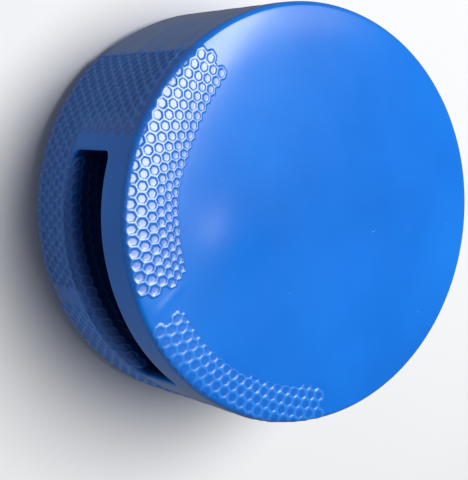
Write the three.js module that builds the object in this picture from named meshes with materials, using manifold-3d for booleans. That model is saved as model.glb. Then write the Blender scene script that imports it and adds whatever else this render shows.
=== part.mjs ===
// Round hand-held kick paddle: a laminated foam disc in a dipped vinyl skin, with a flat pocket for the hand.
// Millimetres, +Z up. It lies on its back: the origin is the centre of the back face, the strike face is up,
// and the hand goes in at the slot in the side wall that faces -Y.
import * as THREE from "three";
import { mergeVertices } from "three/addons/utils/BufferGeometryUtils.js";
import Module from "manifold-3d";

const wasm = await Module();
wasm.setup();

// Driving dimensions
const PAD_RADIUS = 102;
const PAD_THICKNESS = 100;
const SKIN = 1.2; // vinyl film
const GLUE = 0.3; // cement line between glued pieces
const AROUND = 88; // facets round the disc

// Strike face: nearly flat in the middle, rolling off towards a tight shoulder. Back face: flat with a softer
// shoulder. A shoulder is a quarter ellipse from its start radius out to the side wall.
const FACE_CROWN = 2; // the roll-off's drop at the side wall
const FACE_CROWN_POWER = 8;
const FACE_RINGS = [93, 87, 80, 68, 45, 0]; // radii of the outline's points on the face
const FACE_SHOULDER = { start: 99, drop: 3 };
const BACK_SHOULDER = { start: 70, drop: 10 };
const SHOULDER_STEPS = 5;

// Hand pocket: its clear space, measured inside the lining
const POCKET_HALF_WIDTH = 59;
const POCKET_FLOOR = 40;
const POCKET_CEILING = 75.5;
const POCKET_STRAIGHT_END = 8; // y where the straight sides turn into the rounded fingertip end
const POCKET_TIP = 58;
const POCKET_EDGE_RADIUS = 4;

// Reinforcing net, a thin sheet wrapped over the rims beside the slot
const NET_THICKNESS = 0.5;
const NET_FACE_EDGE = 80; // inner radius on the strike face, one of FACE_RINGS
const NET_BACK_EDGE = 86; // it stops on the back shoulder, clear of what the pad lies on
const SLOT_ANGLE = 270; // the slot's middle, in degrees from +X
const NET_ENDS = [201, 347]; // the band's two ends, in degrees from +X
const NET_SEAM_ANGLE = 276.5; // the middle of the smooth gap between the two nets
const NET_SEAM_GAP = 9; // degrees
const BARE_HALF_SPAN = 43; // the bare strip of side wall in front of the slot
const BARE_TOP = 94;
const SLOT_LIP = 3; // the net stops this far from the slot's back edge
const LIP_NET_DEPTH = 26; // how far the lip net runs into the pocket
const LIP_NET_HALF_WIDTH = 52;

const degrees = THREE.MathUtils.degToRad;
const sideTop = PAD_THICKNESS - FACE_CROWN - FACE_SHOULDER.drop;
const sideBottom = BACK_SHOULDER.drop;

// ---- Solids and booleans ----

function solid(geometry) {
  const bare = geometry.index ? geometry.toNonIndexed() : geometry.clone();
  bare.deleteAttribute("normal");
  bare.deleteAttribute("uv");
  const merged = mergeVertices(bare, 1e-4);
  return new wasm.Manifold(
    new wasm.Mesh({
      numProp: 3,
      vertProperties: merged.attributes.position.array,
      triVerts: new Uint32Array(merged.index.array),
    }),
  );
}

function geometryOf(manifold) {
  const mesh = manifold.getMesh();
  const geometry = new THREE.BufferGeometry();
  geometry.setAttribute("position", new THREE.BufferAttribute(mesh.vertProperties, 3));
  geometry.setIndex(new THREE.BufferAttribute(mesh.triVerts, 1));
  geometry.computeVertexNormals();
  return geometry;
}

// A solid of revolution about Z from an outline that runs anticlockwise in the (radius, height) plane.
function turned(outline) {
  return solid(new THREE.LatheGeometry(outline, AROUND).rotateX(Math.PI / 2));
}

// ---- The pad's outline, from the middle of the back to the middle of the strike face ----

function padOutline() {
  const points = [new THREE.Vector2(0, 0)];
  const backWidth = PAD_RADIUS - BACK_SHOULDER.start;
  for (let i = 0; i <= SHOULDER_STEPS; i++) {
    const turn = ((i / SHOULDER_STEPS) * Math.PI) / 2;
    const radius = BACK_SHOULDER.start + backWidth * Math.sin(turn);
    points.push(new THREE.Vector2(radius, BACK_SHOULDER.drop * (1 - Math.cos(turn))));
  }
  const faceWidth = PAD_RADIUS - FACE_SHOULDER.start;
  for (let i = SHOULDER_STEPS; i >= 0; i--) {
    const turn = ((i / SHOULDER_STEPS) * Math.PI) / 2;
    const radius = FACE_SHOULDER.start + faceWidth * Math.sin(turn);
    const drop = FACE_SHOULDER.drop * (1 - Math.cos(turn));
    points.push(new THREE.Vector2(radius, crownHeight(radius) - drop));
  }
  for (const radius of FACE_RINGS) {
    points.push(new THREE.Vector2(radius, crownHeight(radius)));
  }
  return points;
}

function crownHeight(radius) {
  return PAD_THICKNESS - FACE_CROWN * (radius / PAD_RADIUS) ** FACE_CROWN_POWER;
}

// The outline moved outwards by a distance, or inwards where it is negative.
function offset(points, distance) {
  return points.map((point, i) => {
    const before = points[Math.max(i - 1, 0)];
    const after = points[Math.min(i + 1, points.length - 1)];
    const along = after.clone().sub(before).normalize();
    const moved = new THREE.Vector2(along.y, -along.x).multiplyScalar(distance).add(point);
    if (point.x === 0) moved.set(0, point.y + Math.sign(along.x) * -distance);
    return moved;
  });
}

const outline = padOutline();

// A ring of skin between two offsets of the chosen points of the outline.
function layer(keep, inner, outer) {
  const chosen = (_, i) => keep(outline[i]);
  const outside = offset(outline, outer).filter(chosen);
  const inside = offset(outline, inner).filter(chosen).reverse();
  return { outside, inside };
}

// ---- Pocket ----

function pocketSpace(growth) {
  const halfWidth = POCKET_HALF_WIDTH + growth;
  const edge = POCKET_EDGE_RADIUS + growth;
  const tip = POCKET_TIP - POCKET_STRAIGHT_END + growth;
  const shape = new THREE.Shape();
  shape.moveTo(-halfWidth, -2 * PAD_RADIUS);
  shape.lineTo(halfWidth, -2 * PAD_RADIUS);
  shape.lineTo(halfWidth, POCKET_STRAIGHT_END);
  shape.absellipse(0, POCKET_STRAIGHT_END, halfWidth, tip, 0, Math.PI, false);
  shape.closePath();
  const depth = POCKET_CEILING - POCKET_FLOOR + 2 * growth - 2 * edge;
  const geometry = new THREE.ExtrudeGeometry(shape, {
    depth,
    curveSegments: 16,
    bevelThickness: edge,
    bevelSize: edge,
    bevelOffset: -edge,
    bevelSegments: 4,
  });
  return solid(geometry.translate(0, 0, POCKET_FLOOR - growth + edge));
}

function pocketLining() {
  const disc = turned([
    new THREE.Vector2(0, 0),
    new THREE.Vector2(PAD_RADIUS, 0),
    new THREE.Vector2(PAD_RADIUS, PAD_THICKNESS),
    new THREE.Vector2(0, PAD_THICKNESS),
  ]);
  return pocketSpace(SKIN).subtract(pocketSpace(0)).intersect(disc);
}

// ---- Foam layers ----

const foamOutline = offset(outline, -SKIN - GLUE);
const foamBack = foamOutline[0].y;
const foamFront = foamOutline[foamOutline.length - 1].y;
const layerHeights = {
  back_foam_rear: [foamBack, 24],
  back_foam_front: [24 + GLUE, POCKET_FLOOR - SKIN - GLUE],
  pocket_spacer_foam: [POCKET_FLOOR - SKIN, POCKET_CEILING + SKIN],
  strike_foam_rear: [POCKET_CEILING + SKIN + GLUE, 87],
  strike_foam_front: [87 + GLUE, foamFront],
};

function foamLayer([bottom, top]) {
  const slab = turned([
    new THREE.Vector2(0, bottom),
    new THREE.Vector2(2 * PAD_RADIUS, bottom),
    new THREE.Vector2(2 * PAD_RADIUS, top),
    new THREE.Vector2(0, top),
  ]);
  return turned(foamOutline).intersect(slab);
}

function spacerFoam() {
  return foamLayer(layerHeights.pocket_spacer_foam).subtract(pocketSpace(SKIN + GLUE));
}

// ---- Skins ----

function faceSkin() {
  const { outside, inside } = layer((point) => point.y >= sideTop - 1e-6, -SKIN, 0);
  return turned([...inside, ...outside]);
}

function backSkin() {
  const { outside, inside } = layer((point) => point.y <= sideBottom + 1e-6, -SKIN, 0);
  return turned([...outside, ...inside]);
}

function sideSkin() {
  const sleeve = turned([
    new THREE.Vector2(PAD_RADIUS - SKIN, sideBottom + GLUE),
    new THREE.Vector2(PAD_RADIUS, sideBottom + GLUE),
    new THREE.Vector2(PAD_RADIUS, sideTop - GLUE),
    new THREE.Vector2(PAD_RADIUS - SKIN, sideTop - GLUE),
    new THREE.Vector2(PAD_RADIUS - SKIN, sideBottom + GLUE),
  ]);
  // only the pocket's mouth side is cut
  const mouth = box([-PAD_RADIUS, -2 * PAD_RADIUS, 0], [PAD_RADIUS, -PAD_RADIUS / 2, PAD_THICKNESS]);
  return sleeve.subtract(pocketSpace(SKIN + GLUE).intersect(mouth));
}

// ---- Nets ----

function box(low, high) {
  const size = high.map((value, i) => value - low[i]);
  const middle = high.map((value, i) => (value + low[i]) / 2);
  return solid(new THREE.BoxGeometry(...size).translate(...middle));
}

// A slice of pie between two angles, between two heights.
function wedge(fromDegrees, toDegrees, bottom, top) {
  const reach = 2 * PAD_RADIUS;
  const from = degrees(fromDegrees);
  const shape = new THREE.Shape();
  shape.moveTo(0, 0);
  shape.lineTo(reach * Math.cos(from), reach * Math.sin(from));
  shape.absarc(0, 0, reach, from, degrees(toDegrees), false);
  shape.closePath();
  const geometry = new THREE.ExtrudeGeometry(shape, { depth: top - bottom, bevelEnabled: false });
  return solid(geometry.translate(0, 0, bottom));
}

function netBand() {
  const covered = (point) => point.x >= (point.y > PAD_THICKNESS / 2 ? NET_FACE_EDGE : NET_BACK_EDGE);
  const { outside, inside } = layer(covered, GLUE, GLUE + NET_THICKNESS);
  const ring = [...outside, ...inside, outside[0].clone()];
  const bare = wedge(
    SLOT_ANGLE - BARE_HALF_SPAN,
    SLOT_ANGLE + BARE_HALF_SPAN,
    POCKET_FLOOR - SLOT_LIP,
    BARE_TOP,
  );
  return turned(ring).subtract(bare);
}

function net(fromDegrees, toDegrees) {
  return netBand().intersect(wedge(fromDegrees, toDegrees, -PAD_THICKNESS, 2 * PAD_THICKNESS));
}

function slotLipNet() {
  const bottom = POCKET_FLOOR + GLUE;
  const disc = turned([
    new THREE.Vector2(0, bottom),
    new THREE.Vector2(PAD_RADIUS - SLOT_LIP / 2, bottom),
    new THREE.Vector2(PAD_RADIUS - SLOT_LIP / 2, bottom + NET_THICKNESS),
    new THREE.Vector2(0, bottom + NET_THICKNESS),
  ]);
  const lowY = -PAD_RADIUS;
  const mouthY = -Math.sqrt(PAD_RADIUS ** 2 - LIP_NET_HALF_WIDTH ** 2);
  const low = [-LIP_NET_HALF_WIDTH, lowY, 0];
  const high = [LIP_NET_HALF_WIDTH, mouthY + LIP_NET_DEPTH, PAD_THICKNESS];
  return disc.intersect(box(low, high));
}

// ---- Materials ----

const vinyl = new THREE.MeshStandardMaterial({ color: 0x1a6ae0, roughness: 0.28, metalness: 0 });
const coatedNet = new THREE.MeshStandardMaterial({ color: 0x1f66d6, roughness: 0.32, metalness: 0 });
const lining = new THREE.MeshStandardMaterial({ color: 0x123f94, roughness: 0.5, metalness: 0 });
const firmFoam = new THREE.MeshStandardMaterial({ color: 0x2b2d33, roughness: 0.9, metalness: 0 });
const softFoam = new THREE.MeshStandardMaterial({ color: 0xd9d6cc, roughness: 0.95, metalness: 0 });

// ---- Assembly ----

const paddle = new THREE.Group();

function add(name, manifold, material) {
  const mesh = new THREE.Mesh(geometryOf(manifold), material);
  mesh.name = name;
  paddle.add(mesh);
}

add("back_foam_rear", foamLayer(layerHeights.back_foam_rear), firmFoam);
add("back_foam_front", foamLayer(layerHeights.back_foam_front), firmFoam);
add("pocket_spacer_foam", spacerFoam(), softFoam);
add("strike_foam_rear", foamLayer(layerHeights.strike_foam_rear), softFoam);
add("strike_foam_front", foamLayer(layerHeights.strike_foam_front), firmFoam);
add("pocket_lining", pocketLining(), lining);
add("face_skin", faceSkin(), vinyl);
add("side_skin", sideSkin(), vinyl);
add("back_skin", backSkin(), vinyl);
add("net_left", net(NET_ENDS[0], NET_SEAM_ANGLE - NET_SEAM_GAP / 2), coatedNet);
add("net_right", net(NET_SEAM_ANGLE + NET_SEAM_GAP / 2, NET_ENDS[1]), coatedNet);
add("slot_lip_net", slotLipNet(), coatedNet);

export default paddle;
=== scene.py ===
import math

import bpy
import numpy as np
from mathutils import Matrix, Vector


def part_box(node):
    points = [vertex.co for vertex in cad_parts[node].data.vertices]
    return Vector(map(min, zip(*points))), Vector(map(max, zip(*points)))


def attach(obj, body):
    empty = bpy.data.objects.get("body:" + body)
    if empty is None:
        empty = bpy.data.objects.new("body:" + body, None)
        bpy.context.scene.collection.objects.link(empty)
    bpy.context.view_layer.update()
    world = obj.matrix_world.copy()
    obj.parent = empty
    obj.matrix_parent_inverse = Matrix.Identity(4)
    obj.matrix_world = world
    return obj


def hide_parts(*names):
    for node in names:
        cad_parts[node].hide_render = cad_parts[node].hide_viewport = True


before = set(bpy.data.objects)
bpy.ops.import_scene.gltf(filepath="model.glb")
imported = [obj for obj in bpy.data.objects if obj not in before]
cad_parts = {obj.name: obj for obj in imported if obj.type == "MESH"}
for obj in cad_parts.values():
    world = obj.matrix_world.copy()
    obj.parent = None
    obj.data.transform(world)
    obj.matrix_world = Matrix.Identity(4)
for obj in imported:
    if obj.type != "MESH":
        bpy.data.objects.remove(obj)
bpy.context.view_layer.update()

MM = 0.001


def low(node):
    """The lowest corner of a CAD node's box."""
    return np.array(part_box(node)[0])


def high(node):
    """The highest corner of a CAD node's box."""
    return np.array(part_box(node)[1])


def smoothstep(start, end, value):
    t = np.clip((value - start) / (end - start), 0, 1)
    return t * t * (3 - 2 * t)


def bell(middle, width, value):
    return np.exp(-(((value - middle) / width) ** 2))


# ---- Sizes: the outer ones are read from the CAD parts ----

PAD_RADIUS = high("side_skin")[0]
FACE_TOP = high("face_skin")[2]
SIDE_TOP = low("face_skin")[2]
SIDE_BOTTOM = high("back_skin")[2]
FILM = 1.2 * MM
FACE_CROWN = 2.0 * MM
FACE_CROWN_POWER = 8
FACE_SHOULDER_START = PAD_RADIUS - 2.3 * MM
BACK_SHOULDER_START = PAD_RADIUS - 32.0 * MM

# The pocket's clear space, inside its lining, and the slot that is its mouth
SLOT_DIRECTION = 270.0
POCKET_HALF_WIDTH = high("pocket_lining")[0] - FILM
POCKET_FLOOR = low("pocket_lining")[2] + FILM
POCKET_CEILING = high("pocket_lining")[2] - FILM
POCKET_HALF_HEIGHT = (POCKET_CEILING - POCKET_FLOOR) / 2
POCKET_MIDDLE = (POCKET_CEILING + POCKET_FLOOR) / 2
POCKET_TIP = high("pocket_lining")[1] - FILM
POCKET_STRAIGHT_END = 8.0 * MM
POCKET_EDGE_RADIUS = 4.0 * MM
LIP_RADIUS = 2.6 * MM
REAR_LIP_RADIUS = 5.2 * MM  # where the forearm lies on it, in the slot's middle
LIP_TUCK = 2.0 * MM


# ---- The pad's outline, from the middle of the strike face to the middle of the back ----


def crown_height(radius):
    """The strike face is nearly flat in the middle and rolls off towards its rim."""
    return FACE_TOP - FACE_CROWN * (radius / PAD_RADIUS) ** FACE_CROWN_POWER


def pad_outline():
    """Radius and height along the outline, closely spaced."""
    turn = np.linspace(0, math.pi / 2, 80)
    face_radius = np.linspace(0, FACE_SHOULDER_START, 300)[:-1]
    face_height = crown_height(face_radius)
    rim_radius = FACE_SHOULDER_START + (PAD_RADIUS - FACE_SHOULDER_START) * np.sin(turn)
    rim_drop = FACE_TOP - FACE_CROWN - SIDE_TOP
    rim_height = crown_height(rim_radius) - rim_drop * (1 - np.cos(turn))
    side_height = np.linspace(SIDE_TOP, SIDE_BOTTOM, 120)[1:-1]
    side_radius = np.full_like(side_height, PAD_RADIUS)
    back_turn = turn[::-1]
    back_rim_radius = BACK_SHOULDER_START + (PAD_RADIUS - BACK_SHOULDER_START) * np.sin(back_turn)
    back_rim_height = SIDE_BOTTOM * (1 - np.cos(back_turn))
    back_radius = np.linspace(BACK_SHOULDER_START, 0, 100)[1:]
    back_height = np.zeros_like(back_radius)
    radius = np.concatenate([face_radius, rim_radius, side_radius, back_rim_radius, back_radius])
    height = np.concatenate([face_height, rim_height, side_height, back_rim_height, back_height])
    return radius, height


# Each point of the outline: its place, its distance along the outline, and the direction that it faces
RADII, HEIGHTS = pad_outline()
ARC = np.concatenate([[0], np.cumsum(np.hypot(np.diff(RADII), np.diff(HEIGHTS)))])
NORMAL_R = -np.gradient(HEIGHTS, ARC)
NORMAL_Z = np.gradient(RADII, ARC)


def arc_at_height(height):
    """Where the outline passes a height on the straight side wall."""
    wall = (HEIGHTS <= SIDE_TOP) & (HEIGHTS >= SIDE_BOTTOM) & (RADII > PAD_RADIUS - 0.1 * MM)
    return np.interp(-np.asarray(height), -HEIGHTS[wall], ARC[wall])


def arc_at_back_radius(radius):
    """Where the outline passes a radius on the rear rim or the back."""
    back = HEIGHTS < SIDE_BOTTOM
    return np.interp(-radius, -RADII[back], ARC[back])


SIDE_START = arc_at_height(SIDE_TOP)
SIDE_END = arc_at_height(SIDE_BOTTOM)


# ---- Unevenness of the foam and the dipped film ----

SLOW_RIPPLE = 0.09 * MM
SLOW_WAVELENGTHS = (70 * MM, 70 * MM, 70 * MM)
QUICK_RIPPLE = 0.025 * MM
QUICK_WAVELENGTHS = (19 * MM, 19 * MM, 19 * MM)
STREAK_HEIGHT = 0.16 * MM  # the streaks run round the side wall
STREAK_WAVELENGTHS = (150 * MM, 150 * MM, 17 * MM)
STREAK_RIM = 4 * MM  # how far in from the wall's radius they end, on its rims
BACK_FADE = 3 * MM  # no unevenness where the pad rests on its back, and all of it from this height up

# A low swelling of the strike face, inward of the nets' gap
SWELLING_PLACE = (-3 * MM, -47 * MM)
SWELLING_WIDTH = 17 * MM
SWELLING_HEIGHT = 0.98 * MM

# The nets and the slot pull the pad's upper part out of shape, fully from the second height up
UPPER_PART = (60 * MM, 92 * MM)
# The face's rim is drawn down under the nets, up to these angles from the slot
RIM_DRAW = 0.7 * MM
RIM_DRAW_ENDS = (62, 84)
RIM_DRAW_START = 82 * MM
RIM_DRAW_SPAN = 20 * MM
# It is pressed in over the slot
SLOT_PRESS = 0.5 * MM
SLOT_PRESS_ANGLE = 14  # degrees from the middle of the slot
SLOT_PRESS_RADII = (70 * MM, 100 * MM)
# Between the two nets the film lies in a low fold, from the rim towards the face's middle
FOLD_HEIGHT = 0.14 * MM
FOLD_ANGLE = 274.7  # degrees, at the next radius
FOLD_ANGLE_RADIUS = 80 * MM
FOLD_LEAN = 0.25  # degrees for each mm of radius
FOLD_WIDTH = 1.1  # degrees
FOLD_INNER_RADII = (76 * MM, 82 * MM)
FOLD_OUTER_RADII = (93 * MM, 98 * MM)


def ripples(coordinates, wavelengths, seed, waves=9):
    """A smooth random field from -1 to 1: a sum of sine waves with a wavelength along each coordinate."""
    rng = np.random.default_rng(seed)
    total = 0
    for _ in range(waves):
        direction = rng.normal(size=len(coordinates))
        direction /= np.linalg.norm(direction)
        phase = rng.uniform(0, 2 * math.pi)
        for value, wavelength, share in zip(coordinates, wavelengths, direction):
            phase = phase + 2 * math.pi * share * value / wavelength
        total = total + np.sin(phase)
    return total / waves * 1.6


def unevenness(theta, radius, height):
    """How far the film stands proud of the smooth outline."""
    x = radius * np.cos(theta)
    y = radius * np.sin(theta)
    slow = SLOW_RIPPLE * ripples((x, y, height), SLOW_WAVELENGTHS, seed=3)
    quick = QUICK_RIPPLE * ripples((x, y, height), QUICK_WAVELENGTHS, seed=4)
    on_side = smoothstep(PAD_RADIUS - STREAK_RIM, PAD_RADIUS, radius)
    along = PAD_RADIUS * np.cos(theta), PAD_RADIUS * np.sin(theta), height
    streaks = STREAK_HEIGHT * ripples(along, STREAK_WAVELENGTHS, seed=5)
    from_swelling = np.hypot(x - SWELLING_PLACE[0], y - SWELLING_PLACE[1])
    on_face = smoothstep(SIDE_TOP, FACE_TOP, height)
    swelling = SWELLING_HEIGHT * bell(0, SWELLING_WIDTH, from_swelling) * on_face
    return (slow + quick + on_side * streaks + swelling) * smoothstep(0, BACK_FADE, height)


def rim_drawn_down(angle, radius, upper):
    """How far the nets draw the face's rim down. Upper goes from 0 to 1 on the pad's upper part."""
    near_slot = 1 - smoothstep(*RIM_DRAW_ENDS, np.abs(angle - SLOT_DIRECTION))
    towards_rim = np.clip((radius - RIM_DRAW_START) / RIM_DRAW_SPAN, 0, 1) ** 2
    return RIM_DRAW * near_slot * upper * towards_rim


def rim_pressed_in(angle, radius, upper):
    """How far the face's rim is pressed in over the slot."""
    over_slot = bell(0, SLOT_PRESS_ANGLE, angle - SLOT_DIRECTION)
    return SLOT_PRESS * over_slot * upper * smoothstep(*SLOT_PRESS_RADII, radius)


def fold_height(angle, radius, upper):
    """How proud the fold between the two nets stands."""
    across = (angle - FOLD_ANGLE - FOLD_LEAN * (radius - FOLD_ANGLE_RADIUS) / MM) / FOLD_WIDTH
    along = smoothstep(*FOLD_INNER_RADII, radius) * (1 - smoothstep(*FOLD_OUTER_RADII, radius))
    return FOLD_HEIGHT * bell(0, 1, across) * (along * upper)


def pad_surface(theta, arc):
    """Points of the pad's outer surface, at an angle in radians and a distance along the outline."""
    radius = np.interp(arc, ARC, RADII)
    height = np.interp(arc, ARC, HEIGHTS)
    angle = np.degrees(theta) % 360
    upper = smoothstep(*UPPER_PART, height)
    proud = unevenness(theta, radius, height) + fold_height(angle, radius, upper)
    r = radius + proud * np.interp(arc, ARC, NORMAL_R) - rim_pressed_in(angle, radius, upper)
    z = height + proud * np.interp(arc, ARC, NORMAL_Z) - rim_drawn_down(angle, radius, upper)
    return np.stack([r * np.cos(theta), r * np.sin(theta), z], axis=-1)


# ---- Mesh helpers ----


def new_object(name, points, faces, material):
    """A smooth-shaded mesh object of the points that the faces use."""
    used = np.unique(np.concatenate([np.asarray(face) for face in faces]))
    renumber = np.full(len(points), -1)
    renumber[used] = np.arange(len(used))
    mesh = bpy.data.meshes.new(name)
    mesh.from_pydata(
        np.asarray(points)[used].tolist(),
        [],
        [renumber[list(face)].tolist() for face in faces],
    )
    mesh.polygons.foreach_set("use_smooth", [True] * len(mesh.polygons))
    mesh.materials.append(material)
    mesh.update()
    made = bpy.data.objects.new(name, mesh)
    bpy.context.scene.collection.objects.link(made)
    return made


def apply_modifier(made, kind, **settings):
    """Turn a modifier's result into the object's own mesh."""
    modifier = made.modifiers.new(kind, kind)
    for key, value in settings.items():
        setattr(modifier, key, value)
    graph = bpy.context.evaluated_depsgraph_get()
    mesh = bpy.data.meshes.new_from_object(made.evaluated_get(graph))
    made.modifiers.clear()
    made.data = mesh


def vertex_places(made):
    """The x, y and z of an object's vertices."""
    places = np.empty(3 * len(made.data.vertices), np.float32)
    made.data.vertices.foreach_get("co", places)
    return places.reshape(-1, 3).T


def add_attribute(made, name, values):
    attribute = made.data.attributes.new(name, "FLOAT", "POINT")
    attribute.data.foreach_set("value", values.astype(np.float32))


def ring_faces(outer, inner):
    """Quads between two closed loops of as many points."""
    count = len(outer)
    return [(outer[i], inner[i], inner[(i + 1) % count], outer[(i + 1) % count]) for i in range(count)]


# ---- The slot's shape, on loops of points from -1 to 1 across and up ----


def rounded(across, up, half_width, half_height, corner):
    """The point of a rounded rectangle that matches a point on the edge of a square."""
    x = across * half_width
    z = up * half_height
    core_x = np.clip(x, corner - half_width, half_width - corner)
    core_z = np.clip(z, corner - half_height, half_height - corner)
    away = np.stack([x - core_x, z - core_z])
    length = np.maximum(np.linalg.norm(away, axis=0), 1e-9)
    return core_x + corner * away[0] / length, core_z + corner * away[1] / length


def slot_contour(across, up, growth):
    """Angle and outline distance of the slot's contour on the side wall, grown by an amount."""
    x, z = rounded(
        across,
        up,
        POCKET_HALF_WIDTH + growth,
        POCKET_HALF_HEIGHT + growth,
        POCKET_EDGE_RADIUS + growth,
    )
    theta = np.arctan2(-np.sqrt(PAD_RADIUS**2 - x**2), x) % (2 * math.pi)
    return theta, arc_at_height(z + POCKET_MIDDLE)


def rear_lip_radius(x):
    """The slot's rear edge is rounder in its middle than at its ends."""
    towards_middle = np.clip(1 - (x / POCKET_HALF_WIDTH) ** 2, 0, 1)
    return LIP_RADIUS + (REAR_LIP_RADIUS - LIP_RADIUS) * towards_middle


def lip_radius(across, up):
    rear = rear_lip_radius(across * POCKET_HALF_WIDTH)
    return LIP_RADIUS + (rear - LIP_RADIUS) * smoothstep(0, 1, -up)


def lip_point(outside, edge, radius, travel):
    """A point on the lip's roll, from the wall (travel 0) round the edge and into the pocket (1)."""
    inside = edge + np.stack([0 * radius, radius, 0 * radius], axis=-1)
    t = np.asarray(travel)[..., None]
    return (1 - t) ** 2 * outside + 2 * t * (1 - t) * edge + t**2 * inside


# ---- The vinyl skin: a grid round the pad, with a patch in it that holds the slot ----

SKIN_COLUMNS = 360
COLUMN_STEP = 360 / SKIN_COLUMNS
SLOT_PATCH_HALF_ANGLE = 45
SLOT_PATCH_MARGIN = 9 * MM
PATCH_RINGS = 4
LIP_RINGS = 7
FLAT_FACE_RADIUS = 76 * MM  # the grid is finer outward of it

# The side wall is bare past these angles from the slot, in degrees, except at its rims
BARE_WALL_ANGLES = (64, 70)
BARE_WALL_RADII = (PAD_RADIUS - 3 * MM, PAD_RADIUS - 1 * MM)
BARE_WALL_TOP_FADE = 2 * MM


def skin_rows():
    """Outline distances of the skin's rows, and the first and last row of the patch round the slot."""
    patch_top = arc_at_height(POCKET_CEILING + SLOT_PATCH_MARGIN)
    patch_bottom = arc_at_height(POCKET_FLOOR - SLOT_PATCH_MARGIN)
    # each stretch of the outline: where it ends, and its number of rows
    stretches = [
        (FLAT_FACE_RADIUS, 25),
        (FACE_SHOULDER_START, 11),
        (SIDE_START, 12),
        (patch_top, 4),
        (patch_bottom, 20),
        (SIDE_END, 13),
        (arc_at_back_radius(BACK_SHOULDER_START), 16),
        (ARC[-1], 19),
    ]
    rows = [0.0]
    for end, count in stretches:
        rows.extend(np.linspace(rows[-1], end, count + 1)[1:])
    return np.array(rows), rows.index(patch_top), rows.index(patch_bottom)


def grid_point(row, column):
    """The number of the grid's point at a row, from 1, and a column. The two poles come after the grid."""
    return (row - 1) * SKIN_COLUMNS + column % SKIN_COLUMNS


def grid_faces(row_count, patch_rows, patch_columns):
    """The grid's quads, without those of the patch, then the triangles round the two poles."""
    faces = []
    for row in range(1, row_count):
        for column in range(SKIN_COLUMNS):
            if row in patch_rows and column in patch_columns:
                continue
            upper = grid_point(row, column), grid_point(row, column + 1)
            lower = grid_point(row + 1, column), grid_point(row + 1, column + 1)
            faces.append((upper[0], lower[0], lower[1], upper[1]))
    face_pole = row_count * SKIN_COLUMNS
    back_pole = face_pole + 1
    for column in range(SKIN_COLUMNS):
        faces.append((face_pole, grid_point(1, column), grid_point(1, column + 1)))
        faces.append((back_pole, grid_point(row_count, column + 1), grid_point(row_count, column)))
    return faces


def patch_outline(rows, columns):
    """Rows and columns of the grid's points round the patch."""
    outline = [(rows.start, column) for column in columns]
    outline += [(row, columns.stop) for row in rows]
    outline += [(rows.stop, column) for column in range(columns.stop, columns.start, -1)]
    outline += [(row, columns.start) for row in range(rows.stop, rows.start, -1)]
    return outline


def patch_rings(edge_theta, edge_arc):
    """Rings of points from the patch's edge to the slot's lip, then over the lip and into the pocket."""
    across = (np.degrees(edge_theta) - SLOT_DIRECTION) / SLOT_PATCH_HALF_ANGLE
    top = edge_arc.min()
    up = 1 - 2 * (edge_arc - top) / (edge_arc.max() - top)
    radius = lip_radius(across, up)
    lip_theta, lip_arc = slot_contour(across, up, radius)
    slot_theta, slot_arc = slot_contour(across, up, 0)
    outside = pad_surface(lip_theta, lip_arc)
    edge = pad_surface(slot_theta, slot_arc)
    rings = []
    for share in np.linspace(0, 1, PATCH_RINGS + 1)[1:]:
        theta = edge_theta + share * (lip_theta - edge_theta)
        arc = edge_arc + share * (lip_arc - edge_arc)
        rings.append(pad_surface(theta, arc))
    for travel in np.linspace(0, 1, LIP_RINGS + 1)[1:]:
        rings.append(lip_point(outside, edge, radius, np.full_like(radius, travel)))
    rings.append(rings[-1] + np.array([0, LIP_TUCK, 0]))
    return rings


def slot_patch(rows, patch_rows, patch_columns, total):
    """Rings of points from the grid's hole to the pocket, and their faces. Total points come before them."""
    outline = patch_outline(patch_rows, patch_columns)
    edge_theta = np.radians(np.array([column for _, column in outline]) * COLUMN_STEP)
    edge_arc = rows[[row for row, _ in outline]]
    outer = [grid_point(row, column) for row, column in outline]
    rings = patch_rings(edge_theta, edge_arc)
    faces = []
    for ring in rings:
        inner = list(range(total, total + len(ring)))
        faces += ring_faces(outer, inner)
        total += len(ring)
        outer = inner
    return rings, faces


def build_skin(material):
    """The whole skin as one film, cut open at the slot."""
    rows, first_row, last_row = skin_rows()
    first_column = round((SLOT_DIRECTION - SLOT_PATCH_HALF_ANGLE) / COLUMN_STEP)
    last_column = round((SLOT_DIRECTION + SLOT_PATCH_HALF_ANGLE) / COLUMN_STEP)
    patch_rows = range(first_row, last_row)
    patch_columns = range(first_column, last_column)

    thetas = np.radians(np.arange(SKIN_COLUMNS) * COLUMN_STEP)
    grid_theta, grid_arc = np.meshgrid(thetas, rows[1:-1])
    grid = pad_surface(grid_theta.ravel(), grid_arc.ravel())
    poles = np.array([pad_surface(0.0, 0.0), pad_surface(0.0, ARC[-1])])
    faces = grid_faces(len(rows) - 2, patch_rows, patch_columns)
    rings, patch_faces = slot_patch(rows, patch_rows, patch_columns, len(grid) + len(poles))
    points = np.concatenate([grid, poles, *rings])

    skin = new_object("vinyl_skin", points, faces + patch_faces, material)
    apply_modifier(skin, "SOLIDIFY", thickness=FILM, offset=-1)
    mark_bare_wall(skin)
    return skin


def mark_bare_wall(skin):
    """Where the side wall has no net near it, which gets grey bands of painted reflection."""
    x, y, height = vertex_places(skin)
    from_slot = np.abs(np.degrees(np.arctan2(y, x)) % 360 - SLOT_DIRECTION)
    bare = smoothstep(*BARE_WALL_ANGLES, np.minimum(from_slot, 360 - from_slot))
    bare *= smoothstep(*BARE_WALL_RADII, np.hypot(x, y))
    bare *= smoothstep(0, BARE_WALL_TOP_FADE, SIDE_TOP - height)
    add_attribute(skin, "bare_wall", bare)


# ---- The pocket's lining ----

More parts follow.
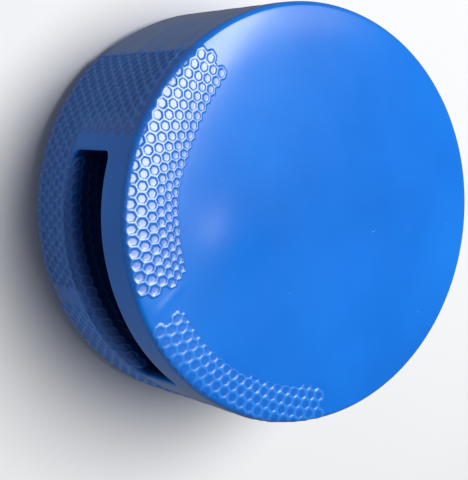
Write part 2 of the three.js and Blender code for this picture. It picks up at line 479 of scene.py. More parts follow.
LINING_FILM = 0.8 * MM
LINING_INSET = 0.15 * MM  # from the pocket's outline, before the wrinkles
LINING_START = 1 * MM  # how far past the lip's roll it begins
WRINKLE_HEIGHT = 0.35 * MM
WRINKLE_WAVELENGTHS = (34 * MM, 34 * MM, 60 * MM)
TIP_PINCH = 0.35  # the share of its height that the pocket loses at its far end
WELD_DISTANCE = 0.02 * MM


def square_loop():
    """Points round the edge of a square from -1 to 1: their places across and up."""
    side = np.linspace(-1, 1, 49)[:-1]
    rise = np.linspace(-1, 1, 13)[:-1]
    across = np.concatenate([side, np.ones_like(rise), -side, -np.ones_like(rise)])
    up = np.concatenate([np.ones_like(side), -rise, -np.ones_like(side), rise])
    return across, up


def lining_rings(x, z, mouth):
    """Rings of points from the slot straight into the pocket, then round its fingertip end."""
    rings = []
    for share in np.linspace(0, 1, 24) ** 1.2:  # a little closer together at the mouth
        y = mouth + share * (POCKET_STRAIGHT_END - mouth)
        rings.append(np.stack([x, y, z + POCKET_MIDDLE], axis=-1))
    end_length = POCKET_TIP - POCKET_STRAIGHT_END
    for turn in np.linspace(0, math.pi / 2, 14)[1:]:
        y = np.full_like(x, POCKET_STRAIGHT_END + end_length * math.sin(turn))
        pinch = 1 - TIP_PINCH * smoothstep(0.75, 1.0, math.sin(turn))
        rings.append(np.stack([x * math.cos(turn), y, z * pinch + POCKET_MIDDLE], axis=-1))
    return rings


def build_lining(material):
    """A wrinkled sleeve from just inside the lip to the rounded fingertip end."""
    across, up = square_loop()
    half_width = POCKET_HALF_WIDTH - LINING_INSET
    half_height = POCKET_HALF_HEIGHT - LINING_INSET
    x, z = rounded(across, up, half_width, half_height, POCKET_EDGE_RADIUS)
    mouth = -np.sqrt(PAD_RADIUS**2 - x**2) + lip_radius(across, up) + LINING_START
    rings = lining_rings(x, z, mouth)
    points = np.concatenate(rings)
    wrinkles = WRINKLE_HEIGHT * ripples(points.T, WRINKLE_WAVELENGTHS, seed=12)
    inward = np.concatenate([np.stack([-x, 0 * x, -z], axis=-1)] * len(rings))
    inward /= np.linalg.norm(inward, axis=-1, keepdims=True)
    points = points + inward * (WRINKLE_HEIGHT + wrinkles)[:, None]
    count = len(x)
    loops = [list(range(i * count, (i + 1) * count)) for i in range(len(rings))]
    faces = []
    for outer, inner in zip(loops, loops[1:]):
        faces += ring_faces(outer, inner)
    lining = new_object("pocket_lining_film", points, faces, material)
    apply_modifier(lining, "WELD", merge_threshold=WELD_DISTANCE)
    apply_modifier(lining, "SOLIDIFY", thickness=LINING_FILM, offset=-1)
    return lining


# ---- The coated nets: flat lattice places, u along a row and v across the rows, are laid on the pad ----

CELL_PITCH = 5.5 * MM
ROW_STEP = CELL_PITCH * math.sqrt(3) / 2
PITCH_ANGLE = math.radians(3.27)
SIDE_STEPS = 3  # points along each side of a cell
CREST_GRID = 36  # crest points that agree to this fraction of a pitch are one point
ROUND_CELL_RADIUS = 0.52  # in pitches
# Rings of a cell, from beside its ribs' crest down to its floor: share of the way out, height, roundness
CELL_RINGS = [
    (0.93, 0.97, 0.05),
    (0.85, 0.85, 0.15),
    (0.76, 0.58, 0.3),
    (0.67, 0.3, 0.45),
    (0.59, 0.1, 0.6),
    (0.5, 0.02, 0.75),
    (0.27, 0.0, 1.0),
]
# Where a rib has no neighbour, the film runs down to the skin: distance outward, height
SKIRT = [(0.45 * MM, 0.6), (1.2 * MM, -0.55)]
RIB_HEIGHT = 0.25 * MM
RIB_VARIATION = 0.2
RIB_WAVELENGTHS = (11 * MM, 11 * MM)
NET_FLOOR = 0.12 * MM
SLOPE_STEP = 0.05 * MM  # the surface's slope is taken over this distance

# The rows follow the rim, and on the face they are bent a little less than it
FIRST_ROW_RADIUS = 93.7 * MM
ROW_BEND = 0.75 / 1000  # how far a row strays from the rim, in mm for each mm squared along it
ROW_BEND_REACH = 93 * MM
ROW_BEND_END = 45 * MM  # from this row on, they keep to the rim
WARP = 0.45 * MM
WARP_U_WAVELENGTHS = (38 * MM, 38 * MM)
WARP_V_WAVELENGTHS = (45 * MM, 45 * MM)

# The inner rows on the face are drawn together, the left net's more towards its far end
LEFT_DRAW = 32 * MM
LEFT_DRAW_RISE = 2
LEFT_DRAW_SPAN = (40 * MM, 110 * MM)
LEFT_INNER_ROW = -17 * MM
RIGHT_DRAW = 3 * MM
RIGHT_INNER_RADIUS = 82.5 * MM

# The nets' ends on the face, in degrees, with the corners of their inner rows
LEFT_FACE_END = 201.2
LEFT_CORNER = 3.6  # how much further the inner rows run
LEFT_CORNER_RADII = (93 * MM, 96 * MM)
RIGHT_FACE_END = 346.7
END_ROUNDING = 2.0
END_ROUNDING_RADII = (82 * MM, 92 * MM)
# The smooth gap between the two nets
GAP_MIDDLE = 276.5
LEFT_GAP_END = 272.0
LEFT_GAP_CORNER = 3.0
LEFT_GAP_CORNER_ROWS = (-14 * MM, -9 * MM)
RIGHT_GAP_END = 281.9
RIGHT_GAP_LEAN = -0.07 / MM  # degrees for each metre of radius
RIGHT_GAP_LEAN_START = 88 * MM
RIGHT_GAP_LEAN_SPAN = 14 * MM
# The nets' ends on the side wall, in degrees from the slot, at its top and bottom
SIDE_END_TOP = 66.0
SIDE_END_BOTTOM = 67.0
BACK_NET_RADIUS = 88.5 * MM
# The bare strip in front of the slot and at its two ends: its two sides in degrees, and where it starts
BARE_ENDS = (228.7, 320.0)
BARE_RIM_ARC = FACE_SHOULDER_START + 0.5 * MM
# The net over the slot's rear lip
LIP_NET_REACH = 30 * MM
LIP_NET_MARGIN = 2 * MM
LIP_ROLL = 1.65  # the roll's length, in lip radii
LIP_NET_LIFT = 1.1 * MM  # clear of the lining, past the roll
LIP_NET_LIFT_SPAN = (0.5, 1.3)  # in lengths of the roll
POCKET_SHADE_DEPTHS = (2 * MM, 9 * MM)  # how far into the pocket the film's painted shade starts and reaches its full depth

# The lattice's extent: degrees to each side of the slot, and the first and last row
LATTICE_HALF_ANGLE = 77
LATTICE_ROWS = (-25 * MM, 140 * MM)

# How proud the ribs stand, and the lowest share of it, where the film is drawn tight over the rim
LEFT_STRENGTH = 1.25
LEFT_RIM_SHARE = 0.1
RIGHT_STRENGTH = 0.75
RIGHT_STRENGTH_RISE = 0.65
RIGHT_RISE_ANGLES = (295, 335)
RIGHT_RIM_SHARE = 0.45
TIGHT_RIM_ARC = FACE_SHOULDER_START + 3.2 * MM
TIGHT_RIM_WIDTH = 2.6 * MM
SIDE_STRENGTH_RISE = 1.6
SIDE_RISE_SPAN = 4 * MM
BESIDE_SLOT_FADE = 6 * MM
BESIDE_SLOT_ANGLES = (-2, 7)  # degrees into the net from the bare strip

# How much painted highlight the film gets over the ribs, from 0 to 1
LEFT_RIB_HIGHLIGHT = 0.45
RIGHT_RIB_HIGHLIGHT = 0.85
LIP_RIB_HIGHLIGHT = 0.4


def hexagon():
    """Points round one cell."""
    corner_u = np.array([1, 0, -1, -1, 0, 1]) * CELL_PITCH / 2
    corner_v = np.array([1, 2, 1, -1, -2, -1]) * ROW_STEP / 3
    points = []
    for i in range(6):
        j = (i + 1) % 6
        for k in range(SIDE_STEPS):
            share = k / SIDE_STEPS
            u = corner_u[i] * (1 - share) + corner_u[j] * share
            v = corner_v[i] * (1 - share) + corner_v[j] * share
            points.append((u, v))
    return np.array(points)


def cell_rings(outline):
    """Offsets from the cell's centre and height of each ring of points inside its crest."""
    lengths = np.linalg.norm(outline, axis=1, keepdims=True)
    round_outline = outline / lengths * CELL_PITCH * ROUND_CELL_RADIUS
    rings = []
    for share, height, roundness in CELL_RINGS:
        rings.append((share * (outline * (1 - roundness) + round_outline * roundness), height))
    return rings


class RibSheet:
    """A sheet of ribs round hexagonal cells: its points' lattice places and heights, and its faces."""

    def __init__(self):
        self.places = []
        self.heights = []  # from 0 on a cell's floor to 1 on the ribs' crest
        self.faces = []
        self.crests = {}  # numbers of the points on the crest, which neighbouring cells share
        self.outward = {}  # the direction away from the cells round each of them
        self.skirts = {}

    def add(self, place, height):
        self.places.append(place)
        self.heights.append(height)
        return len(self.places) - 1

    def crest(self, point, cell):
        """The number of a point on the crest of a cell's ribs."""
        key = (round(CREST_GRID * point[0] / CELL_PITCH), round(CREST_GRID * point[1] / ROW_STEP))
        if key not in self.crests:
            self.crests[key] = self.add(point, 1.0)
            self.outward[self.crests[key]] = np.zeros(2)
        self.outward[self.crests[key]] += (point - cell) / np.linalg.norm(point - cell)
        return self.crests[key]

    def add_cell(self, cell, outline, rings):
        """The half of the ribs that faces into a cell, and the cell's floor."""
        outer = [self.crest(cell + offset, cell) for offset in outline]
        for offsets, height in rings:
            inner = [self.add(cell + offset, height) for offset in offsets]
            self.faces += [face[::-1] for face in ring_faces(outer, inner)]
            outer = inner
        centre = self.add(cell, 0.0)
        self.faces += [(a, b, centre) for a, b in zip(outer, outer[1:] + outer[:1])]

    def free_edges(self):
        """Edges of the crest with no cell on their other side."""
        edges = {}
        for face in self.faces:
            if len(face) == 4:
                for edge in zip(face, face[1:] + face[:1]):
                    edges[edge] = True
        free = [(a, b) for a, b in edges if (b, a) not in edges]
        return [(a, b) for a, b in free if self.heights[a] == self.heights[b] == 1.0]

    def run_down(self, index):
        """The numbers of a point on the crest and of the points below it, down to the skin."""
        if index not in self.skirts:
            outward = self.outward[index]
            direction = outward / max(np.linalg.norm(outward), 1e-9)
            self.skirts[index] = [index]
            for distance, height in SKIRT:
                below = self.add(self.places[index] + direction * distance, height)
                self.skirts[index].append(below)
        return self.skirts[index]

    def add_skirt(self):
        for a, b in self.free_edges():
            down_a = self.run_down(a)
            down_b = self.run_down(b)
            for i in range(len(SKIRT)):
                self.faces.append((down_b[i], down_a[i], down_a[i + 1], down_b[i + 1]))


def honeycomb(cells):
    """The sheet of ribs round the given cell centres."""
    outline = hexagon()
    rings = cell_rings(outline)
    sheet = RibSheet()
    for cell in cells:
        sheet.add_cell(cell, outline, rings)
    sheet.add_skirt()
    return sheet


def lattice(u_range, v_range):
    """Centres of the cells in a range of the flat lattice."""
    cells = []
    first_row = math.ceil(v_range[0] / ROW_STEP)
    last_row = math.floor(v_range[1] / ROW_STEP)
    for row in range(first_row, last_row + 1):
        shift = 0.5 * (row % 2)
        first = math.ceil(u_range[0] / CELL_PITCH - shift)
        last = math.floor(u_range[1] / CELL_PITCH - shift)
        for column in range(first, last + 1):
            cells.append(((column + shift) * CELL_PITCH, row * ROW_STEP))
    return np.array(cells)


def ring_angle(u):
    """The direction of a lattice place from the pad's middle, in degrees."""
    return SLOT_DIRECTION + np.degrees(u / CELL_PITCH * PITCH_ANGLE)


def ring_arc(u, v):
    """Distance along the outline of a lattice place: the rows straighten out from the face to the side."""
    stray = ROW_BEND / MM * (u**2 - ROW_BEND_REACH**2)
    return FIRST_ROW_RADIUS + v + stray * (1 - smoothstep(0, ROW_BEND_END, v))


def drawn_in(place, start, reach):
    """Rows below the start are drawn together, more the further in they lie, by at most the reach."""
    drawn = start - reach * (1 - np.exp(np.minimum(place - start, 0) / reach))
    return np.where(place < start, drawn, place)


def ring_place(u, v):
    """Angle and outline distance of a lattice place on the pad's outer surface, a little warped."""
    warp_u = WARP * ripples((u, v), WARP_U_WAVELENGTHS, seed=31)
    warp_v = WARP * ripples((u, v), WARP_V_WAVELENGTHS, seed=32)
    theta = math.radians(SLOT_DIRECTION) + (u + warp_u) / CELL_PITCH * PITCH_ANGLE
    left_draw = LEFT_DRAW * (1 + LEFT_DRAW_RISE * smoothstep(*LEFT_DRAW_SPAN, -u))
    left_arc = ring_arc(u, drawn_in(v, 0, left_draw)) + warp_v
    right_arc = drawn_in(ring_arc(u, v) + warp_v, RIGHT_INNER_RADIUS + RIGHT_DRAW, RIGHT_DRAW)
    return theta, np.where(theta < math.radians(GAP_MIDDLE), left_arc, right_arc)


def ring_base(u, v):
    """Lattice places on the pad's outer surface."""
    return pad_surface(*ring_place(u, v))


def lip_line(theta):
    """Where the side wall starts to roll over the slot's rear edge, along the outline."""
    return arc_at_height(POCKET_FLOOR - rear_lip_radius(PAD_RADIUS * np.cos(theta)))


def lip_base(u, v):
    """Lattice places where the net runs on over the slot's rear lip, into the pocket."""
    theta, arc = ring_place(u, v)
    radius = rear_lip_radius(PAD_RADIUS * np.cos(theta))
    past = lip_line(theta) - arc
    outside = pad_surface(theta, np.maximum(arc, lip_line(theta)))
    edge = pad_surface(theta, arc_at_height(POCKET_FLOOR) + 0 * theta)
    roll = LIP_ROLL * radius
    point = lip_point(outside, edge, radius, np.clip(past / roll, 0, 1))
    point = np.where((past > 0)[..., None], point, outside)
    point[..., 1] += np.maximum(past - roll, 0)
    lift_start, lift_end = LIP_NET_LIFT_SPAN
    point[..., 2] += LIP_NET_LIFT * smoothstep(lift_start * roll, lift_end * roll, past)
    return point


def past_gap(u, v):
    """How many degrees a place lies inside its own net, from the gap between the two nets."""
    angle = ring_angle(u)
    leaning = np.clip(ring_arc(u, v) - RIGHT_GAP_LEAN_START, 0, RIGHT_GAP_LEAN_SPAN)
    right_end = RIGHT_GAP_END + RIGHT_GAP_LEAN * leaning
    left_end = LEFT_GAP_END - LEFT_GAP_CORNER * (1 - smoothstep(*LEFT_GAP_CORNER_ROWS, v))
    return np.where(angle < GAP_MIDDLE, left_end - angle, angle - right_end)


def on_face_patch(angle, arc, v):
    """Which cells the nets take up on the strike face and over its rim."""
    rounding = END_ROUNDING * (1 - smoothstep(*END_ROUNDING_RADII, arc))
    left_corner = LEFT_CORNER * (1 - smoothstep(*LEFT_CORNER_RADII, arc))
    covered = angle > LEFT_FACE_END + rounding - left_corner
    covered &= angle < RIGHT_FACE_END - 2 * rounding
    return covered & np.where(angle < GAP_MIDDLE, v > LEFT_INNER_ROW, arc > RIGHT_INNER_RADIUS)


def on_side_patch(angle, arc):
    """Which cells the nets take up on the side wall and round the rear rim."""
    depth = (arc - SIDE_START) / (SIDE_END - SIDE_START)
    side_end = SIDE_END_TOP + (SIDE_END_BOTTOM - SIDE_END_TOP) * np.clip(depth, 0, 1)
    return (np.abs(angle - SLOT_DIRECTION) < side_end) & (arc < arc_at_back_radius(BACK_NET_RADIUS))


def net_covers(u, v):
    """Which cells of the lattice the nets take up, the two together."""
    angle = ring_angle(u)
    arc = ring_arc(u, v)
    on_face = arc < SIDE_START - 1 * MM
    covered = np.where(on_face, on_face_patch(angle, arc, v), on_side_patch(angle, arc))
    below_slot = arc > lip_line(np.radians(angle))
    bare = (angle > BARE_ENDS[0]) & (angle < BARE_ENDS[1]) & (arc > BARE_RIM_ARC) & ~below_slot
    return covered & ~bare & (past_gap(u, v) > 0)


def net_lines_lip(u, v):
    """Which cells of the lattice run over the slot's rear lip."""
    theta = np.radians(ring_angle(u))
    across = np.abs(PAD_RADIUS * np.cos(theta))
    past = lip_line(theta) - ring_arc(u, v)
    covered = across < high("slot_lip_net")[0] + LIP_NET_MARGIN
    return covered & (past > 0) & (past < LIP_NET_REACH) & (theta > math.pi)


def net_strength(rim_share, u, v):
    """How proud the ribs stand: less where the film is tight over the rim and towards the bare strip."""
    angle = ring_angle(u)
    arc = ring_arc(u, v)
    rim = 1 - (1 - rim_share) * bell(TIGHT_RIM_ARC, TIGHT_RIM_WIDTH, arc)
    on_side = smoothstep(SIDE_START, SIDE_START + SIDE_RISE_SPAN, arc)
    into_net = smoothstep(*BESIDE_SLOT_ANGLES, np.maximum(BARE_ENDS[0] - angle, angle - BARE_ENDS[1]))
    beside_slot = on_side * (1 - smoothstep(0, BESIDE_SLOT_FADE, arc - arc_at_height(POCKET_FLOOR)))
    side = 1 + SIDE_STRENGTH_RISE * on_side
    return rim * side * (1 - beside_slot * (1 - into_net))


def left_strength(u, v):
    return LEFT_STRENGTH * net_strength(LEFT_RIM_SHARE, u, v)


def right_strength(u, v):
    """The right net stands prouder towards its far end."""
    rise = RIGHT_STRENGTH + RIGHT_STRENGTH_RISE * smoothstep(*RIGHT_RISE_ANGLES, ring_angle(u))
    return net_strength(RIGHT_RIM_SHARE, u, v) * rise


def lip_strength(u, v):
    """The same everywhere."""
    return np.ones_like(u)


def build_net(name, cells, base, strength, rib_highlight, material):
    """A net laid on a surface. At a lattice place, base gives the surface's point and strength the height."""
    sheet = honeycomb(cells)
    u, v = np.array(sheet.places).T
    heights = np.array(sheet.heights)
    along_u = base(u + SLOPE_STEP, v) - base(u - SLOPE_STEP, v)
    along_v = base(u, v + SLOPE_STEP) - base(u, v - SLOPE_STEP)
    normal = np.cross(along_v, along_u)
    normal /= np.linalg.norm(normal, axis=-1, keepdims=True)
    power = strength(u, v)
    slack = 1 + RIB_VARIATION * ripples((u, v), RIB_WAVELENGTHS, seed=21)
    lift = NET_FLOOR + RIB_HEIGHT * heights * np.where(heights > 0, power * slack, 1)
    points = base(u, v) + normal * lift[:, None]
    net = new_object(name, points, sheet.faces, material)
    # the share of painted highlight over the ribs, which follows their height
    add_attribute(net, "painted_rib_highlight", rib_highlight * np.clip(heights * power, 0, 1))
    return net


def mark_pocket_shade(net):
    """How far each point of a net lies inside the pocket, from 0 to 1, where the film gets painted shade."""
    x, y, _ = vertex_places(net)
    add_attribute(net, "inside", smoothstep(*POCKET_SHADE_DEPTHS, PAD_RADIUS - np.hypot(x, y)))


def build_nets(left_film, right_film):
    """The left net, the right net, and the net over the slot's rear lip."""
    reach = math.radians(LATTICE_HALF_ANGLE) / PITCH_ANGLE * CELL_PITCH
    cells = lattice((-reach, reach), LATTICE_ROWS)
    outer_cells = cells[net_covers(*cells.T)]
    angles = ring_angle(outer_cells[:, 0])
    left_cells = outer_cells[angles < GAP_MIDDLE]
    right_cells = outer_cells[angles > GAP_MIDDLE]
    lip_cells = cells[net_lines_lip(*cells.T)]
    left = build_net("net_left_coated", left_cells, ring_base, left_strength, LEFT_RIB_HIGHLIGHT, left_film)
    right = build_net("net_right_coated", right_cells, ring_base, right_strength, RIGHT_RIB_HIGHLIGHT, right_film)
    lip = build_net("slot_lip_net_coated", lip_cells, lip_base, lip_strength, LIP_RIB_HIGHLIGHT, left_film)
    mark_pocket_shade(lip)
    return left, right, lip


# ---- Materials: noise scales are in features for each metre ----

VINYL_DEEP = (0.002, 0.142, 0.61)
VINYL = (0.003, 0.162, 0.67)
VINYL_PALE = (0.005, 0.181, 0.71)
CLOUD_SCALE = 14
# Painted shade: what the colour is multiplied by in the two nets' cells, and, deeper, inside the pocket
LEFT_CELL_SHADE = (0.8, 0.74, 0.8, 1)
RIGHT_CELL_SHADE = (0.8, 0.86, 0.93, 1)
POCKET_SHADE = (0.5, 0.16, 0.2, 1)
# The painted highlight's colour over the ribs, and its share from the low to the high end of the rib
# highlight attribute
RIB_HIGHLIGHT_COLOUR = (0.03, 0.26, 0.84, 1)
RIB_HIGHLIGHT_RANGE = (0.12, 0.6)
RIB_HIGHLIGHT_SHARE = (0.0, 0.6)
# Grey bands of painted reflection of a pale surrounding on the bare wall, and the least and the most that
# they cover of it
BARE_WALL_REFLECTION = (0.17, 0.225, 0.33, 1)
BARE_WALL_REFLECTION_COVER = (0.15, 0.75)
BARE_WALL_REFLECTION_SCALE = 9
BARE_WALL_REFLECTION_STRETCH = (1, 1, 9)

VINYL_IOR = 1.5
VINYL_SPECULAR = 0.05  # below the coat
COAT_ROUGHNESS = 0.19
COAT_IOR = 1.5
NET_COAT_ROUGHNESS = 0.28
LEFT_NET_COAT_IOR = 1.75
RIGHT_NET_COAT_IOR = 1.55
SMEAR_SCALE = 22
SMEAR_ROUGHNESS = (0.3, 0.42)
SMEAR_STRETCH = (1, 2.6, 1)
PEEL_SCALE = 420
PEEL_DEPTH = 0.06 * MM
SPECK_SCALE = 95
SPECK_SIZE = 0.45 * MM
SPECK_DEPTH = 0.25 * MM

# The lining's colours are painted far darker than the vinyl, as painted shade of the pocket's inside
LINING_DARK = (0.002, 0.02, 0.12)
LINING_LIGHT = (0.004, 0.05, 0.26)
LINING_SPECULAR = 0.2
LINING_ROUGHNESS = (0.42, 0.6)
LINING_MOTTLE_SCALE = 60
LINING_GRAIN_SCALE = 700
LINING_GRAIN_DEPTH = 0.3 * MM

FIRM_FOAM_COLOURS = (0.008, 0.008, 0.01), (0.05, 0.05, 0.055)
SOFT_FOAM_COLOURS = (0.36, 0.34, 0.29), (0.78, 0.76, 0.7)
FIRM_FOAM_CELLS = 900
SOFT_FOAM_CELLS = 700
FOAM_CELL_DEPTH = 0.4 * MM
FOAM_ROUGHNESS = 0.92
FOAM_SHEEN = 0.2

FLOOR_COLOURS = (0.78, 0.78, 0.78), (0.82, 0.82, 0.82)
FLOOR_CLOUD_SCALE = 3
FLOOR_ROUGHNESS = 0.7


def principled(name, **settings):
    """A new material, its nodes, its shader with the named sockets set, and its object coordinates."""
    material = bpy.data.materials.new(name)
    material.use_nodes = True
    tree = material.node_tree
    shader = tree.nodes["Principled BSDF"]
    for socket, value in settings.items():
        shader.inputs[socket.replace("_", " ")].default_value = value
    coordinates = tree.nodes.new("ShaderNodeTexCoord").outputs["Object"]
    return material, tree, shader, coordinates


def noise(tree, coordinates, scale, detail, stretch=None):
    if stretch:
        mapping = tree.nodes.new("ShaderNodeMapping")
        mapping.inputs["Scale"].default_value = stretch
        tree.links.new(coordinates, mapping.inputs["Vector"])
        coordinates = mapping.outputs["Vector"]
    node = tree.nodes.new("ShaderNodeTexNoise")
    node.inputs["Scale"].default_value = scale
    node.inputs["Detail"].default_value = detail
    tree.links.new(coordinates, node.inputs["Vector"])
    return node.outputs["Fac"]


def cell_distance(tree, coordinates, scale):
    """Distance to the nearest of a field of scattered points, in steps of the field."""
    node = tree.nodes.new("ShaderNodeTexVoronoi")
    node.inputs["Scale"].default_value = scale
    tree.links.new(coordinates, node.inputs["Vector"])
    return node.outputs["Distance"]


def ramp(tree, value, *stops):
    """A colour between the stops, which are pairs of a position and a colour."""
    node = tree.nodes.new("ShaderNodeValToRGB")
    elements = node.color_ramp.elements
    while len(elements) < len(stops):
        elements.new(0.5)
    for element, (position, colour) in zip(elements, stops):
        element.position = position
        element.color = (*colour, 1)
    tree.links.new(value, node.inputs["Fac"])
    return node.outputs["Color"]


def remap(tree, value, source, target):
    """The value, with the source range turned into the target range and kept within it."""
    node = tree.nodes.new("ShaderNodeMapRange")
    for socket, number in zip(("From Min", "From Max", "To Min", "To Max"), source + target):
        node.inputs[socket].default_value = number
    tree.links.new(value, node.inputs["Value"])
    return node.outputs["Result"]


def mixed(tree, share, first, second, blend="MIX"):
    """Two colours blended. The Mix node's colour sockets are 6, 7 and, for the result, 2."""
    node = tree.nodes.new("ShaderNodeMix")
    node.data_type = "RGBA"
    node.blend_type = blend
    for socket, value in ((0, share), (6, first), (7, second)):
        if isinstance(value, bpy.types.NodeSocket):
            tree.links.new(value, node.inputs[socket])
        else:
            node.inputs[socket].default_value = value
    return node.outputs[2]


def bump(tree, height, distance, strength, after=None):
    """The normal over a height field, on top of an earlier bump if there is one."""
    node = tree.nodes.new("ShaderNodeBump")
    node.inputs["Distance"].default_value = distance
    node.inputs["Strength"].default_value = strength
    tree.links.new(height, node.inputs["Height"])
    if after:
        tree.links.new(after, node.inputs["Normal"])
    return node.outputs["Normal"]


def read_attribute(tree, name):
    node = tree.nodes.new("ShaderNodeAttribute")
    node.attribute_name = name
    return node.outputs["Fac"]


def multiplied(tree, first, second):
    node = tree.nodes.new("ShaderNodeMath")
    node.operation = "MULTIPLY"
    tree.links.new(first, node.inputs[0])
    tree.links.new(second, node.inputs[1])
    return node.outputs["Value"]


def net_colour(tree, colour, cell_shade):
    """Painted highlight over the ribs, painted shade in the cells, and deeper painted shade inside the
    pocket.
    """
    # how much painted highlight the ribs get
    height = remap(tree, read_attribute(tree, "painted_rib_highlight"), RIB_HIGHLIGHT_RANGE, RIB_HIGHLIGHT_SHARE)
    # painted shade in the cells
    darker = mixed(tree, 1.0, colour, cell_shade, blend="MULTIPLY")
    colour = mixed(tree, height, darker, RIB_HIGHLIGHT_COLOUR)
    # deeper painted shade inside the pocket
    return mixed(tree, read_attribute(tree, "inside"), colour, POCKET_SHADE, blend="MULTIPLY")


def with_bare_wall_reflection(tree, coordinates, colour):
    """Grey bands of painted reflection round the bare side wall."""
    bands = noise(tree, coordinates, BARE_WALL_REFLECTION_SCALE, 3, stretch=BARE_WALL_REFLECTION_STRETCH)
    reflection_share = remap(tree, bands, (0.36, 0.68), BARE_WALL_REFLECTION_COVER)
    return mixed(tree, multiplied(tree, reflection_share, read_attribute(tree, "bare_wall")), colour, BARE_WALL_REFLECTION)


def vinyl_material(name, cell_shade=None, coat_roughness=COAT_ROUGHNESS, coat_ior=COAT_IOR):
    """Glossy dipped vinyl with orange peel, pimples and faint clouds. Over a net, cell_shade is the painted
    shade in its cells; elsewhere the bare wall gets grey bands of painted reflection.
    """
    material, tree, shader, coordinates = principled(
        name,
        Coat_Weight=1.0,
        Coat_Roughness=coat_roughness,
        Coat_IOR=coat_ior,
        IOR=VINYL_IOR,
        Specular_IOR_Level=VINYL_SPECULAR,
    )
    clouds = noise(tree, coordinates, CLOUD_SCALE, 3)
    colour = ramp(tree, clouds, (0.3, VINYL_DEEP), (0.5, VINYL), (0.72, VINYL_PALE))
    if cell_shade:
        colour = net_colour(tree, colour, cell_shade)
    else:
        # grey bands of painted reflection on the bare wall
        colour = with_bare_wall_reflection(tree, coordinates, colour)
    tree.links.new(colour, shader.inputs["Base Color"])
    smears = noise(tree, coordinates, SMEAR_SCALE, 4, stretch=SMEAR_STRETCH)
    roughness = remap(tree, smears, (0.35, 0.75), SMEAR_ROUGHNESS)
    tree.links.new(roughness, shader.inputs["Roughness"])
    normal = bump(tree, noise(tree, coordinates, PEEL_SCALE, 2), PEEL_DEPTH, 0.25)
    distance = cell_distance(tree, coordinates, SPECK_SCALE)
    specks = remap(tree, distance, (SPECK_SIZE * SPECK_SCALE, 0.0), (0.0, 1.0))
    normal = bump(tree, specks, SPECK_DEPTH, 0.6, after=normal)
    tree.links.new(normal, shader.inputs["Normal"])
    tree.links.new(normal, shader.inputs["Coat Normal"])
    return material


def lining_material():
    """The same vinyl where it was poured into the pocket: duller and unpolished, and painted much darker as
    painted shade of the pocket's inside.
    """
    material, tree, shader, coordinates = principled("pocket_vinyl", Specular_IOR_Level=LINING_SPECULAR)
    mottle = noise(tree, coordinates, LINING_MOTTLE_SCALE, 4)
    colour = ramp(tree, mottle, (0.3, LINING_DARK), (0.7, LINING_LIGHT))
    tree.links.new(colour, shader.inputs["Base Color"])
    roughness = remap(tree, mottle, (0.3, 0.7), LINING_ROUGHNESS)
    tree.links.new(roughness, shader.inputs["Roughness"])
    grain = noise(tree, coordinates, LINING_GRAIN_SCALE, 3)
    tree.links.new(bump(tree, grain, LINING_GRAIN_DEPTH, 0.5), shader.inputs["Normal"])
    return material


def foam_material(name, dark, light, cell_scale):
    """Closed-cell foam: a matte field of small cells."""
    material, tree, shader, coordinates = principled(name, Roughness=FOAM_ROUGHNESS, Sheen_Weight=FOAM_SHEEN)
    distance = cell_distance(tree, coordinates, cell_scale)
    colour = ramp(tree, distance, (0.0, dark), (0.75, light))
    tree.links.new(colour, shader.inputs["Base Color"])
    tree.links.new(bump(tree, distance, FOAM_CELL_DEPTH, 0.7), shader.inputs["Normal"])
    return material


def floor_material():
    material, tree, shader, coordinates = principled("pale_floor", Roughness=FLOOR_ROUGHNESS)
    clouds = noise(tree, coordinates, FLOOR_CLOUD_SCALE, 3)
    colour = ramp(tree, clouds, (0.2, FLOOR_COLOURS[0]), (0.8, FLOOR_COLOURS[1]))
    tree.links.new(colour, shader.inputs["Base Color"])
    return material


# ---- Camera, light and floor ----

CAMERA_PLACE = Vector((-0.1584, -0.3381, 0.6060))
CAMERA_AIM = Vector((-0.0016, -0.0409, 0.0915))
CAMERA_ROLL = math.radians(98.4)
LENS = 97.5  # in mm, as is the sensor's width
SENSOR_WIDTH = 36

# Place, width and height, power in watts, and how far it is turned about the way it faces
KEY_LIGHT = (-0.125, 0.32, 1.3), (1.04, 0.6), 19.0, math.radians(109)
WASH_LIGHT = (-0.27, 0.94, 1.3), (0.5, 0.5), 1.7, 0.0
ROOM_COLOUR = (0.93, 0.96, 1, 1)
ROOM_STRENGTH = 0.16
FLOOR_HALF_SIZE = 3.0
FLOOR_LEVEL = -0.1 * MM


def aimed(place, target, spin):
    """The matrix of a camera or light that looks at a point, turned about the way it looks."""
    look = (target - place).to_track_quat("-Z", "Y").to_matrix().to_4x4()
    return Matrix.Translation(place) @ look @ Matrix.Rotation(spin, 4, "Z")


def add_camera():
    data = bpy.data.cameras.new("camera")
    data.lens = LENS
    data.sensor_width = SENSOR_WIDTH
    camera = bpy.data.objects.new("camera", data)
    bpy.context.scene.collection.objects.link(camera)
    camera.matrix_world = aimed(CAMERA_PLACE, CAMERA_AIM, CAMERA_ROLL)
    bpy.context.scene.camera = camera


def add_softbox(name, place, size, power, spin):
    """An oval soft light that faces the middle of the strike face."""
    data = bpy.data.lights.new(name, "AREA")
    data.shape = "ELLIPSE"
    data.size, data.size_y = size
    data.energy = power
    lamp = bpy.data.objects.new(name, data)
    bpy.context.scene.collection.objects.link(lamp)
    lamp.matrix_world = aimed(Vector(place), Vector((0, 0, FACE_TOP)), spin)


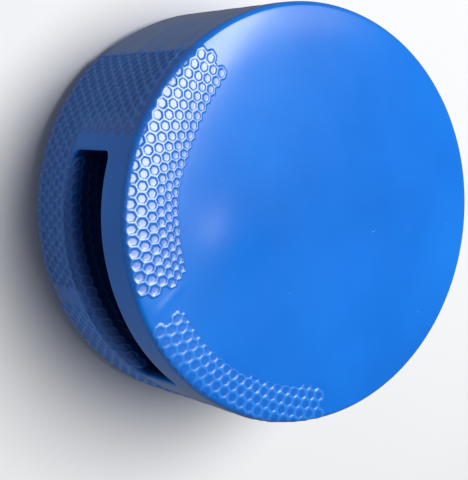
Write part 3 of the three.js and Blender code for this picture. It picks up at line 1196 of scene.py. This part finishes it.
def add_floor():
    """A pale floor, which the glossy pad doesn't mirror."""
    corners = [(-1, -1), (1, -1), (1, 1), (-1, 1)]
    points = [(x * FLOOR_HALF_SIZE, y * FLOOR_HALF_SIZE, FLOOR_LEVEL) for x, y in corners]
    floor = new_object("floor", points, [(0, 1, 2, 3)], floor_material())
    floor.visible_glossy = False


def add_stage():
    add_floor()
    world = bpy.data.worlds.new("studio")
    bpy.context.scene.world = world
    world.use_nodes = True
    background = world.node_tree.nodes["Background"]
    background.inputs["Color"].default_value = ROOM_COLOUR
    background.inputs["Strength"].default_value = ROOM_STRENGTH
    add_softbox("key", *KEY_LIGHT)
    add_softbox("wash", *WASH_LIGHT)
    bpy.context.scene.view_settings.view_transform = "Standard"


# ---- Putting it together ----

add_camera()
add_stage()

vinyl = vinyl_material("dipped_vinyl")
left_film = vinyl_material("vinyl_over_left_net", LEFT_CELL_SHADE, NET_COAT_ROUGHNESS, LEFT_NET_COAT_IOR)
right_film = vinyl_material("vinyl_over_right_net", RIGHT_CELL_SHADE, NET_COAT_ROUGHNESS, RIGHT_NET_COAT_IOR)
skin = build_skin(vinyl)
lining = build_lining(lining_material())
net_left, net_right, slot_lip_net = build_nets(left_film, right_film)

pieces = [
    (skin, "vinyl", ("face_skin", "side_skin", "back_skin")),
    (lining, "lining", ("pocket_lining",)),
    (net_left, "coated_net", ("net_left",)),
    (net_right, "coated_net", ("net_right",)),
    (slot_lip_net, "coated_net", ("slot_lip_net",)),
]
for piece, slot_name, nodes in pieces:
    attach(piece, "root")
    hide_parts(*nodes)

firm = foam_material("firm_foam", *FIRM_FOAM_COLOURS, FIRM_FOAM_CELLS)
soft = foam_material("soft_foam", *SOFT_FOAM_COLOURS, SOFT_FOAM_CELLS)
foam_layers = {
    "back_foam_rear": firm,
    "back_foam_front": firm,
    "pocket_spacer_foam": soft,
    "strike_foam_rear": soft,
    "strike_foam_front": firm,
}
for node, foam in foam_layers.items():
    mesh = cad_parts[node].data
    mesh.materials.clear()
    mesh.materials.append(foam)
